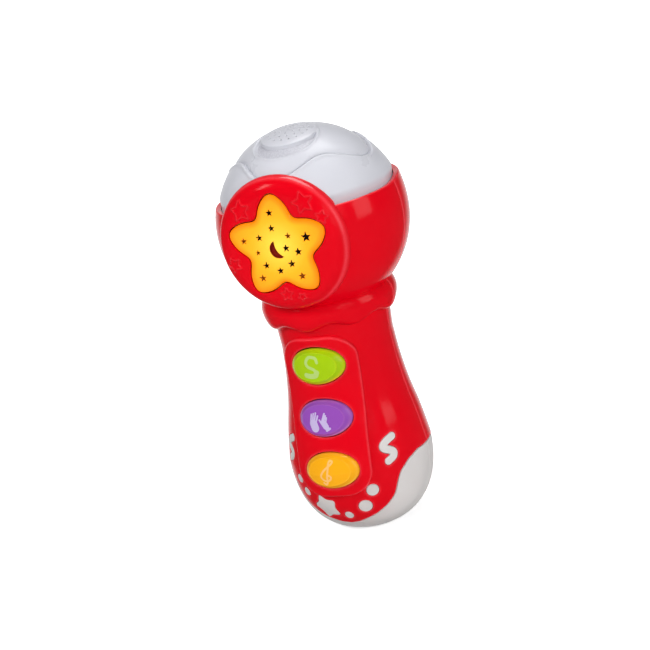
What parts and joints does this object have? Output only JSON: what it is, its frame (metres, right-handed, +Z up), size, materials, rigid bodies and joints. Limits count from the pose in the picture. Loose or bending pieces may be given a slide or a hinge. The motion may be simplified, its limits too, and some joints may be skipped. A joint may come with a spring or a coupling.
{
  "type": "toy microphone",
  "caption": "Hand-held toy microphone with a domed top, a lit star, oval push buttons on the grip and a battery compartment behind it.",
  "frame": {"origin": "Centre of the flat foot, on the axis of the grip.", "axes": "+Z up along the microphone, -Y towards the buttons and the star, +X to the right as seen from the front."},
  "size_m": [0.0778, 0.0729, 0.1685],
  "materials": {
    "red_plastic": "glossy moulded plastic",
    "white_plastic": "satin moulded plastic",
    "dome_plastic": "satin moulded plastic",
    "lens_plastic": "tinted light-passing plastic",
    "reflector_plastic": "matt moulded plastic",
    "green_plastic": "glossy moulded plastic, printed",
    "purple_plastic": "glossy moulded plastic, printed",
    "orange_plastic": "glossy moulded plastic, printed",
    "black_plastic": "fine matt",
    "silicone": "translucent silicone",
    "circuit_board": "solder mask over glass fibre",
    "screw_steel": "zinc plated",
    "plated_contact": "nickel plated",
    "diode_epoxy": "clear epoxy",
    "speaker_paper": "pressed paper",
    "magnet": "plated",
    "cell_wrap": "plain printed wrap",
    "wire_red": "insulation",
    "wire_yellow": "insulation",
    "wire_black": "insulation",
    "wire_blue": "insulation"
  },
  "bodies": {
    "housing": {"front_shell": "red_plastic", "rear_shell": "red_plastic", "star_bezel": "red_plastic", "base_front": "white_plastic", "base_rear": "white_plastic", "dome": "dome_plastic", "star_lens": "lens_plastic", "light_reflector": "reflector_plastic", "speaker_clamp": "reflector_plastic", "light_board": "circuit_board", "main_board": "circuit_board", "light_diode": "diode_epoxy", "switch_body": "plated_contact", "keypad": "silicone", "speaker_basket": "plated_contact", "speaker_cone": "speaker_paper", "speaker_magnet": "magnet", "cell_1": "cell_wrap", "cell_2": "cell_wrap", "contact_plate_1": "plated_contact", "contact_plate_2": "plated_contact", "contact_bridge": "plated_contact", "contact_spring_1": "plated_contact", "contact_spring_2": "plated_contact", "board_screw_1": "screw_steel", "board_screw_2": "screw_steel", "board_screw_3": "screw_steel", "board_screw_4": "screw_steel", "shell_screw_1": "screw_steel", "shell_screw_2": "screw_steel", "shell_screw_3": "screw_steel", "shell_screw_4": "screw_steel", "shell_screw_5": "screw_steel", "shell_screw_6": "screw_steel", "clamp_screw_1": "screw_steel", "speaker_wire_1": "wire_red", "light_wire_1": "wire_yellow", "switch_wire_1": "wire_black", "battery_wire_1": "wire_blue", "clamp_screw_2": "screw_steel", "speaker_wire_2": "wire_red", "light_wire_2": "wire_yellow", "switch_wire_2": "wire_black", "battery_wire_2": "wire_blue"},
    "green_key": {"button_green": "green_plastic"},
    "purple_key": {"button_purple": "purple_plastic"},
    "orange_key": {"button_orange": "orange_plastic"},
    "switch": {"switch_knob": "black_plastic"},
    "door": {"battery_door": "red_plastic"},
    "door_fastener": {"battery_door_screw": "screw_steel"}
  },
  "joints": [
    {"name": "green_press", "type": "slide", "parent": "housing", "child": "green_key", "axis": [0, 0.9882, -0.153], "range_m": [0, 0.0014], "stiffness_N_per_m": 900, "springref_m": -0.0004},
    {"name": "purple_press", "type": "slide", "parent": "housing", "child": "purple_key", "axis": [0, 0.9882, -0.153], "range_m": [0, 0.0014], "stiffness_N_per_m": 900, "springref_m": -0.0004},
    {"name": "orange_press", "type": "slide", "parent": "housing", "child": "orange_key", "axis": [0, 0.9882, -0.153], "range_m": [0, 0.0014], "stiffness_N_per_m": 900, "springref_m": -0.0004},
    {"name": "switch_slide", "type": "slide", "parent": "housing", "child": "switch", "axis": [1, 0, 0], "range_m": [-0.003, 0.003]},
    {"name": "door_swing", "type": "hinge", "parent": "housing", "child": "door", "pos_m": [0, 0.02358, 0.0873], "axis": [1, 0, 0], "range_deg": [0, 50]},
    {"name": "door_screw_turn", "type": "hinge", "parent": "door", "child": "door_fastener", "pos_m": [0, 0.024, 0.0312], "axis": [0, 1, 0], "continuous": true}
  ]
}
